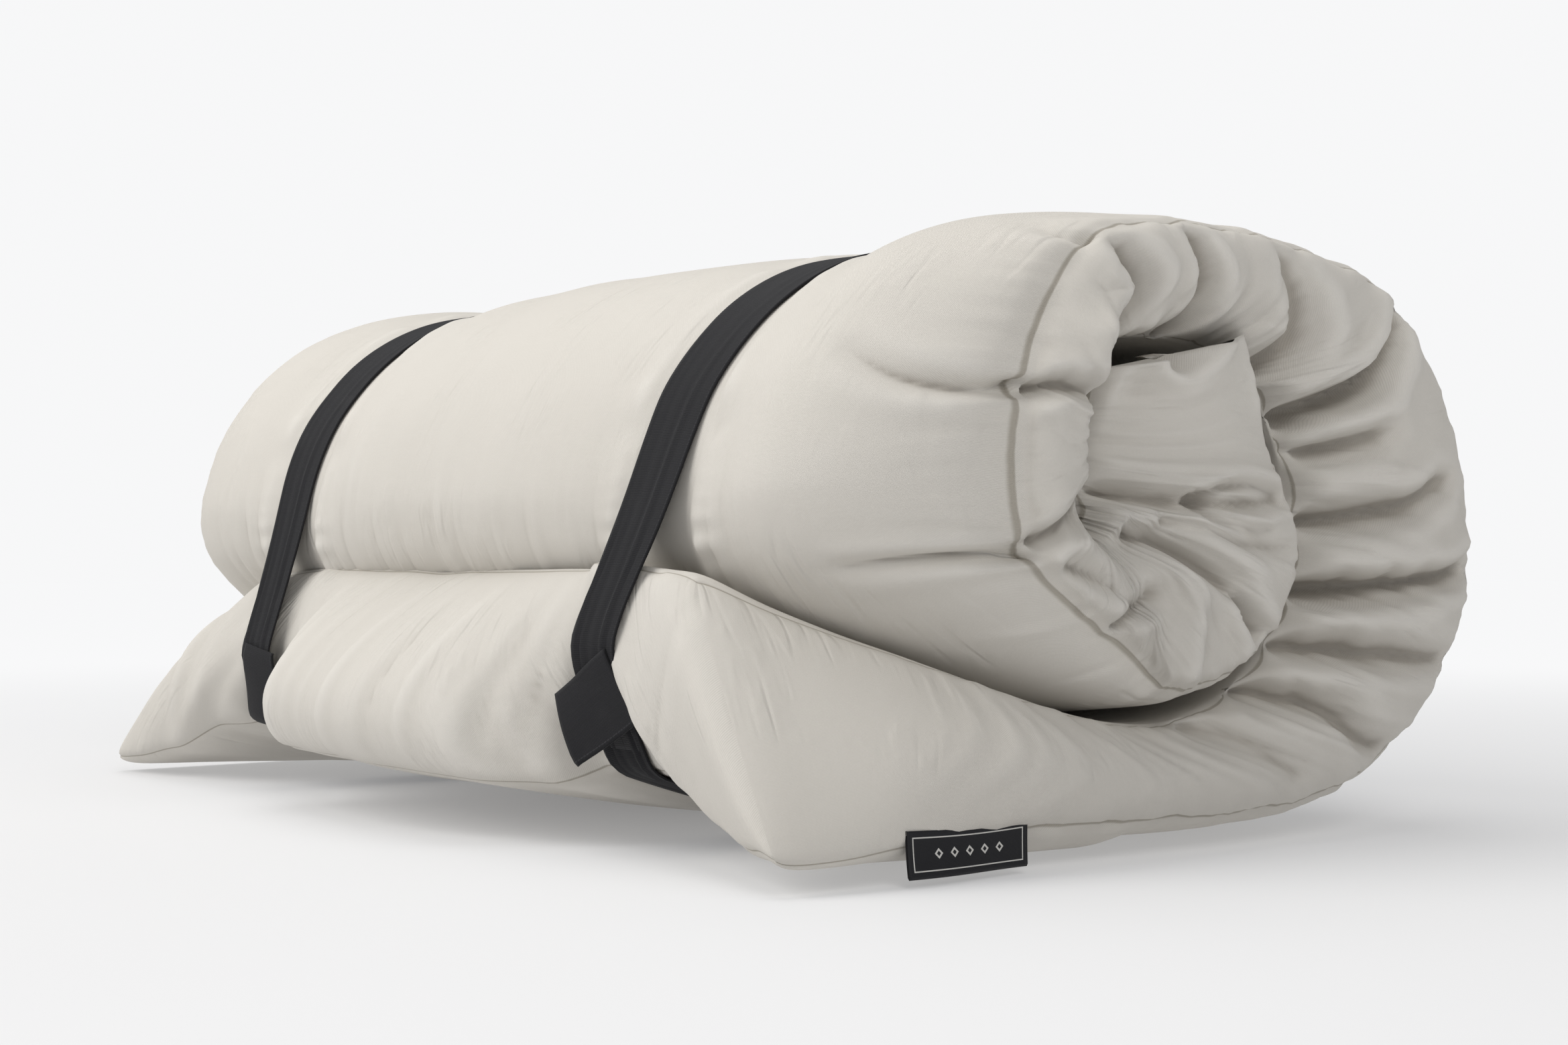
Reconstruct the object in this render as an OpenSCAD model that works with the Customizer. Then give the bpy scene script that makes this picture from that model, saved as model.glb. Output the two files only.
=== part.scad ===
// Futon mattress, rolled up and held by two straps.
// X runs from the free end at the front to the back of the roll, Y along the roll, Z up.
// The layer lies on the floor, turns up the back, over the top and down the front,
// and folds under itself to its closed inner end, where the zip is.

/* [Mattress] */
// Width of the mattress, which is the length of the roll
mattress_w = 1000; // [780:10:1600]
// How far the free end stands out in front of the roll
tail_out = 84; // [70:1:140]
// Thickness of the free end
tail_loft = 166; // [130:1:200]
// Thickness of the layer where the roll lies on it
floor_loft = 84; // [50:1:110]
// Thickness of the layer up the back
back_loft = 168; // [100:1:220]
// Thickness of the layer over the top
top_loft = 84; // [60:1:160]
// Thickness of the layer down the front
front_loft = 150; // [90:1:190]
// Thickness of the fold at the bottom of the front
fold_loft = 112; // [60:1:150]
// Thickness of the inner end
end_loft = 150; // [90:1:230]

/* [Gaps in the roll] */
// Height of the space between the floor layer and the top layer
core_h = 262; // [200:1:340]
// Crevice between the front layer and the inner end
crevice_w = 46; // [8:1:100]
// Gap between the inner end and the back layer
back_gap = 58; // [4:1:100]
// Gap between the floor layer and the fold that lies on it
fold_gap = 2; // [0.5:0.5:10]
// Room above the inner end for the zip slider
zip_room = 24; // [14:1:40]

/* [Cloth] */
// Thickness of the cover
cover_t = 2; // [1:0.1:3]
// Thickness of the inner casing
casing_t = 1.5; // [0.8:0.1:3]
// Number of batting layers in the casing
batting_layers = 6; // [6]

/* [Zip] */
// Width of each zip tape
tape_w = 14; // [8:0.5:20]
// Thickness of the zip tape
tape_t = 0.8; // [0.5:0.1:1.2]
// Width of one coil row
coil_w = 2.6; // [1.5:0.1:4]
// Height of the coil above the tape
coil_h = 1.8; // [1:0.1:3]
// Width of the slot in which the coil shows
slot_w = 15; // [11:0.5:24]
// Width of the strip between the outer panel and the zip
facing_w = 30; // [12:1:50]
// Distance from each end of the zip to the side of the cover
zip_margin = 12; // [6:1:60]
// Length of the slider
slider_l = 15; // [10:0.5:24]
// Wall of the slider
slider_wall = 1.2; // [0.8:0.1:2]
// Radius of the slider's cross pin
pin_r = 1; // [0.7:0.1:1.6]
// Length of the puller
puller_l = 28; // [16:1:34]
// Width of the puller
puller_w = 7; // [5:0.5:10]
// Thickness of the puller
puller_t = 1.6; // [1:0.1:2.4]

/* [Straps] */
// Width of a strap
strap_w = 72; // [30:1:110]
// Thickness of a strap
strap_t = 2; // [1:0.1:4]
// Distance from the near side of the roll to the middle of the near strap
near_strap_from = 230; // [120:5:300]
// Distance from the far side of the roll to the middle of the far strap
far_strap_from = 230; // [120:5:300]
// Radius of the bend where a strap goes from the front down to the free end
crease_r = 34; // [12:1:60]
// Height of the top of a strap's free end
tab_top = 116; // [100:1:125]
// Length of a strap's free end
tab_l = 78; // [50:1:95]
// How far the tip of a strap's free end stands off
tab_kick = 24; // [0:1:50]
// Length of the hook and loop pads
pad_l = 40; // [20:1:60]
// Thickness of each hook or loop pad
pad_t = 1; // [0.6:0.1:2]

/* [Label] */
// Length of the label along the seam
label_l = 101; // [40:1:140]
// Height of the label
label_h = 29; // [16:1:30]
// Distance from the free end to the label
label_from_tail = 90; // [40:1:160]
// Height of the seam that the label is sewn into
label_seam_h = 31; // [31:1:46]
// Thickness of the label's ribbon
ribbon_t = 0.6; // [0.3:0.1:1]
// Space between the two plies of the folded label
label_fold_gap = 0.4; // [0.2:0.1:1]

/* [Hidden] */

cloth_colour = "#cdc8be";
casing_colour = "#efe9dc";
batting_colour = "#f4f0e6";
strap_colour = "#212125";
pad_colour = "#2d2d31";
zip_colour = "#4a4a4c";
metal_colour = "#8a8c8f";
label_colour = "#17171a";

arc_steps = 10;          // straight pieces in a quarter turn of cloth
fit_gap = 0.3;           // space between pieces that move past each other
pin_clear = 0.08;        // space round the slider's cross pin
corner_min = 1;          // smallest radius left inside a bend
wrap_gap = 0.5;          // space between a strap and the cover
pad_margin = 4;          // from the top of a strap's free end to its pad

// Thickness of the layer on each stretch: floor, back, top, front, fold and inner end
loft = [floor_loft, back_loft, top_loft, front_loft, fold_loft, end_loft];

base_z = strap_t + wrap_gap;
roll_h = floor_loft + core_h + top_loft;
top_z = base_z + roll_h;
front_x = tail_out;
inner_x = front_x + front_loft + crevice_w + end_loft;
back_x = inner_x + back_gap + back_loft;
fold_z = base_z + floor_loft + fold_gap;
end_z = top_z - top_loft - zip_room;

// Outside radius of each bend, limited by the stretches on either side of it
back_r = min(roll_h / 2, (back_x - front_x) / 2);
fold_r = min((inner_x - front_x) / 2, (top_z - fold_z) / 2, end_z - fold_z);
bend_r = [back_r, back_r, fold_r, fold_r, fold_r];

half_w = mattress_w / 2;
skin_t = cover_t + casing_t;
zip_bed = tape_t + coil_w;

label_t = 2 * ribbon_t + label_fold_gap;
label_y = -half_w - fit_gap - label_t / 2;

strap_out = wrap_gap + strap_t;
tab_x = -strap_out - 2 * pad_t - fit_gap;
tab_top_z = base_z + tab_top;

// The origin is under the middle of the whole object
mid_x = (back_x + strap_out + tab_x - strap_t - tab_kick) / 2;
mid_y = (label_y - label_t / 2 + half_w) / 2;

coil_x = inner_x - cover_t - facing_w - slot_w / 2;
coil_top_z = end_z - cover_t + coil_h;
slider_w = 2 * (coil_w + fit_gap + slider_wall);
slider_roof_z = coil_top_z + fit_gap + slider_wall;
pin_z = slider_roof_z + fit_gap + pin_r + pin_clear + puller_t / 2;
eye_r = pin_r + pin_clear + puller_t * 0.6;
slider_y = half_w - zip_margin - 3 * slider_l;

near_strap_y = -half_w + near_strap_from;
far_strap_y = half_w - far_strap_from;

// A quarter turn about c, from the angle a0, turning left
function arc(c, r, a0) =
    [for (i = [0 : arc_steps]) let (a = a0 + 90 * i / arc_steps) c + r * [cos(a), sin(a)]];

// Radius of bend k at the depths d, which hold one depth for each stretch
function depth_r(k, d) = max(bend_r[k] - max(d[k], d[k + 1]), corner_min);

// Thickness of the free end at x. It is full to the crease, then hugs the fold that lies on it.
function tail_t(x) =
    let (hug_r = fold_r + fold_gap,
         run = front_x + fold_r - x,
         drop = run < hug_r ? hug_r - sqrt(hug_r * hug_r - run * run) : hug_r)
    min(tail_loft, floor_loft + drop);

// Distances from the free end at which its top line has a point
tail_steps = [for (i = [0 : arc_steps]) (front_x + fold_r) * i / arc_steps];

// The line in the layer that is a share f of the loft plus a distance a below the outside.
// It stops short of the free end by tail_cut and of the inner end by end_cut.
function layer_line(f, a, tail_cut, end_cut) =
    let (d = [for (t = loft) f * t + a],
         r = [for (k = [0 : 4]) depth_r(k, d)],
         floor_z = base_z + d[0],
         right_x = back_x - d[1],
         roof_z = top_z - d[2],
         left_x = front_x + d[3],
         low_z = fold_z + d[4],
         last_x = inner_x - d[5])
    concat([for (x = tail_steps) [max(x, tail_cut), base_z + f * tail_t(x) + a]],
           arc([right_x - r[0], floor_z + r[0]], r[0], -90),
           arc([right_x - r[1], roof_z - r[1]], r[1], 0),
           arc([left_x + r[2], roof_z - r[2]], r[2], 90),
           arc([left_x + r[3], low_z + r[3]], r[3], 180),
           arc([last_x - r[4], low_z + r[4]], r[4], -90),
           [[last_x, end_z - end_cut]]);

function reversed(list) = [for (i = [len(list) - 1 : -1 : 0]) list[i]];

// The section of the layer between two depths, each given as [share of the loft, distance]
module layer_section(outer, inner, tail_cut = 0, end_cut = 0) {
    polygon(concat(layer_line(outer[0], outer[1], tail_cut, end_cut),
                   reversed(layer_line(inner[0], inner[1], tail_cut, end_cut))));
}

// Extrudes a section drawn in X and Z along the roll, from y0 to y1
module along_roll(y0, y1) {
    translate([0, y1, 0]) rotate([90, 0, 0]) linear_extrude(height = y1 - y0) children();
}

module placed() {
    translate([-mid_x, -mid_y, 0]) children();
}

module box(lo, hi) {
    translate(lo) cube(hi - lo);
}

module cover_outer_panel() {
    color(cloth_colour) placed()
        along_roll(-half_w, half_w) layer_section([0, 0], [0, cover_t]);
}

module cover_inner_panel() {
    color(cloth_colour) placed()
        along_roll(-half_w, half_w) layer_section([1, -cover_t], [1, 0]);
}

module cover_side(y0) {
    color(cloth_colour) placed()
        along_roll(y0, y0 + cover_t) layer_section([0, cover_t], [1, -cover_t]);
}

module cover_side_near() {
    cover_side(-half_w);
}

module cover_side_far() {
    cover_side(half_w - cover_t);
}

module cover_tail_end() {
    color(cloth_colour) placed()
        box([0, -half_w + cover_t, base_z + cover_t],
            [cover_t, half_w - cover_t, base_z + tail_loft - cover_t]);
}

// One strip of the inner end's border, from x0 to x1
module end_strip(x0, x1) {
    color(cloth_colour) placed()
        box([x0, -half_w + cover_t, end_z - cover_t], [x1, half_w - cover_t, end_z]);
}

module cover_zip_facing() {
    end_strip(coil_x + slot_w / 2, inner_x - cover_t);
}

module cover_zip_flap() {
    end_strip(inner_x - end_loft + cover_t, coil_x - slot_w / 2);
}

module zip_tape(x0) {
    color(zip_colour) placed()
        box([x0, -half_w + zip_margin, end_z - cover_t - tape_t],
            [x0 + tape_w, half_w - zip_margin, end_z - cover_t]);
}

module zip_tape_outer() {
    zip_tape(coil_x);
}

module zip_tape_inner() {
    zip_tape(coil_x - tape_w);
}

module zip_coil(x0) {
    color(zip_colour) placed()
        box([x0, -half_w + zip_margin + coil_w, end_z - cover_t],
            [x0 + coil_w, half_w - zip_margin - coil_w, coil_top_z]);
}

module zip_coil_outer() {
    zip_coil(coil_x);
}

module zip_coil_inner() {
    zip_coil(coil_x - coil_w);
}

// A crimped stop closes the chain at each end
module zip_stops() {
    color(metal_colour) placed()
        for (y = [-half_w + zip_margin, half_w - zip_margin - coil_w])
            box([coil_x - coil_w, y, end_z - cover_t], [coil_x + coil_w, y + coil_w, coil_top_z]);
}

module zip_slider() {
    roof_x = slider_w / 2;
    flange_in = coil_w + fit_gap;
    post_l = 2 * (pin_r + slider_wall);
    post_w = 2 * pin_r;
    post_x = puller_w / 4 + fit_gap;
    color(metal_colour) placed() translate([coil_x, slider_y, 0]) {
        box([-roof_x, -slider_l / 2, slider_roof_z - slider_wall], [roof_x, slider_l / 2, slider_roof_z]);
        for (side = [-1, 1])
            translate([side * (flange_in + slider_wall / 2), 0, 0])
                box([-slider_wall / 2, -slider_l / 2, end_z - cover_t + fit_gap],
                    [slider_wall / 2, slider_l / 2, slider_roof_z - slider_wall]);
        for (side = [-1, 1])
            translate([side * (post_x + post_w / 2), 0, 0])
                box([-post_w / 2, -post_l / 2, slider_roof_z], [post_w / 2, post_l / 2, pin_z + pin_r]);
        translate([-post_x, 0, pin_z]) rotate([0, 90, 0]) cylinder(r = pin_r, h = 2 * post_x, $fn = 48);
    }
}

// The puller hangs on the slider's cross pin by its narrow eye and lies along the zip
module zip_puller() {
    neck_w = puller_w / 2;
    neck_l = eye_r + 2 * pin_r + slider_wall;
    color(metal_colour) placed() translate([coil_x, slider_y, pin_z])
        difference() {
            union() {
                rotate([0, 90, 0]) cylinder(r = eye_r, h = neck_w, center = true, $fn = 48);
                box([-neck_w / 2, 0, -puller_t / 2], [neck_w / 2, neck_l, puller_t / 2]);
                box([-puller_w / 2, neck_l, -puller_t / 2], [puller_w / 2, puller_l, puller_t / 2]);
            }
            rotate([0, 90, 0]) cylinder(r = pin_r + pin_clear, h = 2 * neck_w, center = true, $fn = 48);
        }
}

// A woven ribbon folded at the bottom, with both ends sewn into the seam
module side_label() {
    label_x = label_from_tail;
    ply_y = label_t / 2 - ribbon_t;
    low_z = label_seam_h - label_h;
    color(label_colour) placed() translate([label_x, label_y, base_z])
        difference() {
            box([0, -label_t / 2, low_z], [label_l, label_t / 2, label_seam_h]);
            box([-1, -ply_y, low_z + ribbon_t], [label_l + 1, ply_y, label_seam_h + 1]);
        }
}

module casing_outer_panel() {
    color(casing_colour) placed()
        along_roll(-half_w + cover_t, half_w - cover_t)
            layer_section([0, cover_t], [0, skin_t], cover_t, cover_t + zip_bed);
}

module casing_inner_panel() {
    color(casing_colour) placed()
        along_roll(-half_w + cover_t, half_w - cover_t)
            layer_section([1, -skin_t], [1, -cover_t], cover_t, cover_t + zip_bed);
}

// The border runs round all four sides of the casing
module casing_border() {
    end_top = end_z - cover_t - zip_bed;
    color(casing_colour) placed() {
        for (y = [-half_w + cover_t, half_w - skin_t])
            along_roll(y, y + casing_t)
                layer_section([0, skin_t], [1, -skin_t], cover_t, cover_t + zip_bed);
        box([cover_t, -half_w + cover_t, base_z + skin_t],
            [skin_t, half_w - cover_t, base_z + tail_loft - skin_t]);
        box([inner_x - end_loft + skin_t, -half_w + cover_t, end_top - casing_t],
            [inner_x - skin_t, half_w - cover_t, end_top]);
    }
}

// Layer i of the cotton batting, counted from the outside
module batting(i) {
    f0 = (i - 1) / batting_layers;
    f1 = i / batting_layers;
    color(batting_colour) placed()
        along_roll(-half_w + skin_t, half_w - skin_t)
            layer_section([f0, skin_t * (1 - 2 * f0)], [f1, skin_t * (1 - 2 * f1)],
                          skin_t, skin_t + zip_bed);
}

module batting_1() { batting(1); }
module batting_2() { batting(2); }
module batting_3() { batting(3); }
module batting_4() { batting(4); }
module batting_5() { batting(5); }
module batting_6() { batting(6); }

// The closed line that a strap follows at a distance o outside the cover
function strap_line(o) =
    let (tail_top_z = base_z + tail_loft,
         crease = crease_r - o)
    concat(arc([0, base_z], o, 180),
           arc([back_x - back_r, base_z + back_r], back_r + o, -90),
           arc([back_x - back_r, top_z - back_r], back_r + o, 0),
           arc([front_x + fold_r, top_z - fold_r], fold_r + o, 90),
           reversed(arc([front_x - crease_r, tail_top_z + crease_r], crease, -90)),
           arc([0, tail_top_z], o, 90));

module strap_band(y) {
    color(strap_colour) placed()
        along_roll(y - strap_w / 2, y + strap_w / 2)
            difference() {
                polygon(strap_line(strap_out));
                polygon(strap_line(wrap_gap));
            }
}

// A pad whose inner face is at x, sewn across the strap
module strap_pad(x, y) {
    mid_z = tab_top_z - pad_margin - pad_l / 2;
    color(pad_colour) placed()
        box([x - pad_t, y - strap_w / 2 + pad_t, mid_z - pad_l / 2],
            [x, y + strap_w / 2 - pad_t, mid_z + pad_l / 2]);
}

// The free end lies over the pads, and its tip stands off the free end of the mattress
module strap_tab(y) {
    bend_z = tab_top_z - pad_margin - pad_l;
    tip_z = tab_top_z - tab_l;
    color(strap_colour) placed()
        along_roll(y - strap_w / 2, y + strap_w / 2)
            polygon([[tab_x, tab_top_z], [tab_x - strap_t, tab_top_z], [tab_x - strap_t, bend_z],
                     [tab_x - strap_t - tab_kick, tip_z], [tab_x - tab_kick, tip_z], [tab_x, bend_z]]);
}

module strap_near_band() { strap_band(near_strap_y); }
module strap_near_loop_pad() { strap_pad(-strap_out, near_strap_y); }
module strap_near_tab() { strap_tab(near_strap_y); }
module strap_near_hook_pad() { strap_pad(tab_x + pad_t, near_strap_y); }
module strap_far_band() { strap_band(far_strap_y); }
module strap_far_loop_pad() { strap_pad(-strap_out, far_strap_y); }
module strap_far_tab() { strap_tab(far_strap_y); }
module strap_far_hook_pad() { strap_pad(tab_x + pad_t, far_strap_y); }

cover_outer_panel();
cover_inner_panel();
cover_side_near();
cover_side_far();
cover_tail_end();
cover_zip_facing();
cover_zip_flap();
zip_tape_outer();
zip_tape_inner();
zip_coil_outer();
zip_coil_inner();
zip_stops();
zip_slider();
zip_puller();
side_label();
casing_outer_panel();
casing_inner_panel();
casing_border();
batting_1();
batting_2();
batting_3();
batting_4();
batting_5();
batting_6();
strap_near_band();
strap_near_loop_pad();
strap_near_tab();
strap_near_hook_pad();
strap_far_band();
strap_far_loop_pad();
strap_far_tab();
strap_far_hook_pad();
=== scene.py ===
"""Rolled futon mattress: soft cover, straps, label and zip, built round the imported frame."""

import math

import bmesh
import bpy
import numpy as np
from mathutils import Matrix, Vector


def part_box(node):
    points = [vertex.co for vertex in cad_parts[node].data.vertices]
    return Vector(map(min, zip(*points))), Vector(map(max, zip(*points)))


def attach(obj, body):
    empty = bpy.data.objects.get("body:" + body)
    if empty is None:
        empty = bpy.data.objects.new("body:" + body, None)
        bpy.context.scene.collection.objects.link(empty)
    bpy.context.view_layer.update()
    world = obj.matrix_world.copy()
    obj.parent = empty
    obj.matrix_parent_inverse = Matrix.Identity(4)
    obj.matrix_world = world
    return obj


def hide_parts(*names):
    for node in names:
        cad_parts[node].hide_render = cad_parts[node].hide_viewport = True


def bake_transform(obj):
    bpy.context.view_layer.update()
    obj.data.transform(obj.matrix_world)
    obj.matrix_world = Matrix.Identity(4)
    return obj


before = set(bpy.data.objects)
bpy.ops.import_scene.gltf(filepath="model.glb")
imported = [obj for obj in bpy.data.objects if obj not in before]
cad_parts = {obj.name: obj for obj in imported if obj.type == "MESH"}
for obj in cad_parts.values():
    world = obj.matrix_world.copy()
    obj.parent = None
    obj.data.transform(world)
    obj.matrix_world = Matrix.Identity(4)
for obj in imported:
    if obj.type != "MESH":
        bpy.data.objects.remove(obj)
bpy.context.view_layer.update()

cover_lo, cover_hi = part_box("cover_outer_panel")
ORIGIN = np.array([cover_lo.x, cover_lo.y, 0.0])  # where the millimetres below start, in the row frame
LENGTH = (cover_hi.y - cover_lo.y) * 1000  # along the roll, in mm
# The middle of the near and of the far strap along the roll, and their width, in mm
STRAPS = [
    ((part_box(f"strap_{side}_band")[0].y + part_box(f"strap_{side}_band")[1].y) / 2 - ORIGIN[1]) * 1000
    for side in ("near", "far")
]
STRAP_WIDTH = (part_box("strap_near_band")[1].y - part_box("strap_near_band")[0].y) * 1000

# ---------------------------------------------------------------- camera and studio

SENSOR, LENS = 36, 51.9  # mm
YAW, TILT = math.radians(38.66), math.radians(0.82)
CAMERA_PLACE = (-0.8157, -1.0174, 0.2005)  # m from ORIGIN

FLOOR_REACH = 14  # m each way
WORLD_LIGHT, WORLD_TINT = 0.265, (0.95, 0.965, 1.0, 1)
BACKGROUND = (0.93, 0.932, 0.938, 1)
# Each lamp's name, place, aim, size, power and tint
LAMPS = (
    ("soft_left", (-2.8, 1.2, 2.4), (0, 0, 0.2), 2.6, 92, (1, 0.985, 0.96)),
    ("soft_top", (0.2, 0.5, 3.2), (0, 0, 0.2), 3.0, 52, (1, 0.99, 0.975)),
    ("soft_near", (-1.2, -3.0, 2.3), (0.1, -0.3, 0.2), 1.6, 35, (1, 0.99, 0.975)),
)


def aim(thing, ahead):
    """Turns a camera or a lamp to look ahead."""
    thing.rotation_mode = "QUATERNION"
    thing.rotation_quaternion = ahead.to_track_quat("-Z", "Y")


def make_camera():
    camera = bpy.data.objects.new("camera", bpy.data.cameras.new("camera"))
    bpy.context.scene.collection.objects.link(camera)
    camera.data.sensor_width = SENSOR
    camera.data.lens = LENS
    camera.data.clip_start = 0.05
    camera.location = Vector(ORIGIN) + Vector(CAMERA_PLACE)
    aim(camera, Vector((math.sin(YAW) * math.cos(TILT), math.cos(YAW) * math.cos(TILT), math.sin(TILT))))
    bpy.context.scene.camera = camera


def make_studio():
    """The floor, a world that looks like a pale wall to the camera, and three soft lamps."""
    bpy.context.scene.view_settings.view_transform = "Standard"
    bm = bmesh.new()
    bmesh.ops.create_grid(bm, x_segments=1, y_segments=1, size=FLOOR_REACH)
    floor = piece_from(bm, "floor")
    floor.data.materials.append(floor_paint())
    world = bpy.data.worlds.new("studio")
    bpy.context.scene.world = world
    world.use_nodes = True
    nodes, links = world.node_tree.nodes, world.node_tree.links
    glow = nodes["Background"]
    glow.inputs["Color"].default_value = WORLD_TINT
    glow.inputs["Strength"].default_value = WORLD_LIGHT
    wall = nodes.new("ShaderNodeBackground")
    wall.inputs["Color"].default_value = BACKGROUND
    path, choice = nodes.new("ShaderNodeLightPath"), nodes.new("ShaderNodeMixShader")
    links.new(path.outputs["Is Camera Ray"], choice.inputs[0])
    links.new(glow.outputs[0], choice.inputs[1])
    links.new(wall.outputs[0], choice.inputs[2])
    links.new(choice.outputs[0], nodes["World Output"].inputs["Surface"])
    for name, place, target, size, power, tint in LAMPS:
        lamp = bpy.data.objects.new(name, bpy.data.lights.new(name, "AREA"))
        bpy.context.scene.collection.objects.link(lamp)
        lamp.data.shape = "SQUARE"
        lamp.data.size = size
        lamp.data.energy = power
        lamp.data.color = tint
        lamp.location = place
        aim(lamp, Vector(target) - Vector(place))


make_camera()

# ---------------------------------------------------------------- shader expressions


class Wire:
    """A node's output. Sums with it add Math nodes to its tree."""

    def __init__(self, tree, socket):
        self.tree, self.socket = tree, socket

    def math(self, operation, *others):
        return self.tree.node("ShaderNodeMath", {"operation": operation}, self, *others)

    def __add__(self, other):
        return self.math("ADD", other)

    def __sub__(self, other):
        return self.math("SUBTRACT", other)

    def __rsub__(self, other):
        return self.tree.node("ShaderNodeMath", {"operation": "SUBTRACT"}, other, self)

    def __mul__(self, other):
        return self.math("MULTIPLY", other)

    def __truediv__(self, other):
        return self.math("DIVIDE", other)

    __radd__ = __add__
    __rmul__ = __mul__

    def sin(self):
        return self.math("SINE")

    def fract(self):
        return self.math("FRACT")

    def abs(self):
        return self.math("ABSOLUTE")

    def most(self, other):
        return self.math("MAXIMUM", other)

    def under(self, other):
        return self.math("LESS_THAN", other)

    def ramp(self, low, high):
        """Eases from 0 at low to 1 at high."""
        smooth = {"interpolation_type": "SMOOTHSTEP"}
        return self.tree.node("ShaderNodeMapRange", smooth, self, low, high, 0.0, 1.0)


class Finish:
    """A new material, and the one method that adds its nodes."""

    def __init__(self, name):
        self.material = bpy.data.materials.new(name)
        self.material.use_nodes = True
        self.nodes, self.links = self.material.node_tree.nodes, self.material.node_tree.links
        self.shader = self.nodes["Principled BSDF"]

    def node(self, kind, settings, *values, out=0, **named):
        made = self.nodes.new(kind)
        for key, value in settings.items():
            setattr(made, key, value)
        for key, value in list(enumerate(values)) + list(named.items()):
            self.plug(made.inputs[key], value)
        return Wire(self, made.outputs[out])

    def plug(self, socket, value):
        """Gives an input a wire or a plain value. None leaves it as it is."""
        if isinstance(value, Wire):
            self.links.new(value.socket, socket)
        elif value is not None:
            socket.default_value = value

    def set(self, **values):
        """Sets the shader's own inputs, named with _ for each space."""
        for key, value in values.items():
            self.plug(self.shader.inputs[key.replace("_", " ")], value)

    def blend(self, share, one, two, kind="MIX"):
        """Goes from colour one to colour two as share goes from 0 to 1."""
        settings = {"data_type": "RGBA", "blend_type": kind}
        not_colour = [None] * 5
        return self.node("ShaderNodeMix", settings, share, *not_colour, one, two, out=2)

    def uv(self):
        """Places along and across the cloth, in mm of its own grid."""
        grid = self.node("ShaderNodeUVMap", {"uv_map": "cloth"})
        return [self.node("ShaderNodeSeparateXYZ", {}, grid, out=axis) for axis in (0, 1)]

    def place(self):
        """Places in the piece's own frame, in m."""
        return self.node("ShaderNodeTexCoord", {}, out=3)

    def stretched(self, *by):
        """Places in the piece's own frame, each axis multiplied by its own number."""
        return self.node("ShaderNodeVectorMath", {"operation": "MULTIPLY"}, self.place(), by)

    def flat_place(self, x, y):
        return self.node("ShaderNodeCombineXYZ", {}, x, y, 0.0)

    def marked(self, name):
        """A value that the mesh keeps under this name."""
        return self.node("ShaderNodeAttribute", {"attribute_name": name}, out=2)

    def noise(self, scale, detail=3.0, roughness=0.55, at=None):
        at = self.place() if at is None else at
        return self.node("ShaderNodeTexNoise", {}, at, None, scale, detail, roughness)

    def bump(self, height, strength, distance, below=None):
        inputs = {"Strength": strength, "Distance": distance, "Height": height, "Normal": below}
        return self.node("ShaderNodeBump", {}, **inputs)


def rgb(red, green, blue):
    return (red, green, blue, 1.0)


def floor_paint():
    """Matt pale floor that turns into the background's brightness far away."""
    paint = Finish("floor_paint")
    cloud = paint.noise(0.7, 2.0)
    away = paint.node("ShaderNodeVectorMath", {"operation": "LENGTH"}, paint.place(), out=1).ramp(-0.7, 2.7)
    near = paint.blend(cloud.ramp(0.3, 0.7), rgb(0.68, 0.68, 0.685), rgb(0.70, 0.70, 0.703))
    paint.set(
        Base_Color=paint.blend(away, near, rgb(0.02, 0.02, 0.02)),
        Roughness=0.62 + away * 0.3,
        Emission_Color=paint.blend(away, rgb(0.05, 0.05, 0.052), rgb(0.915, 0.917, 0.923)),
        Emission_Strength=1.0,
        Specular_IOR_Level=0.1,
    )
    return paint.material


def lay_bumps(cloth, height, depth, fuzz, below=None):
    """Raises the weave by its depth in m, and the fuzz of the fibres over it."""
    weave = cloth.bump(height, 0.55, depth, below)
    cloth.set(Normal=cloth.bump(fuzz, 0.25, 0.00025, weave))


def ridges(place, pitch):
    """Rounded ridges, one every pitch."""
    return (place * (math.pi / pitch)).sin().abs()


# Waves of the fine wrinkles, per mm along and across the cloth
LONG_WRINKLES, UPRIGHT_WRINKLES = (0.007, 0.045), (0.045, 0.009)


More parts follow.
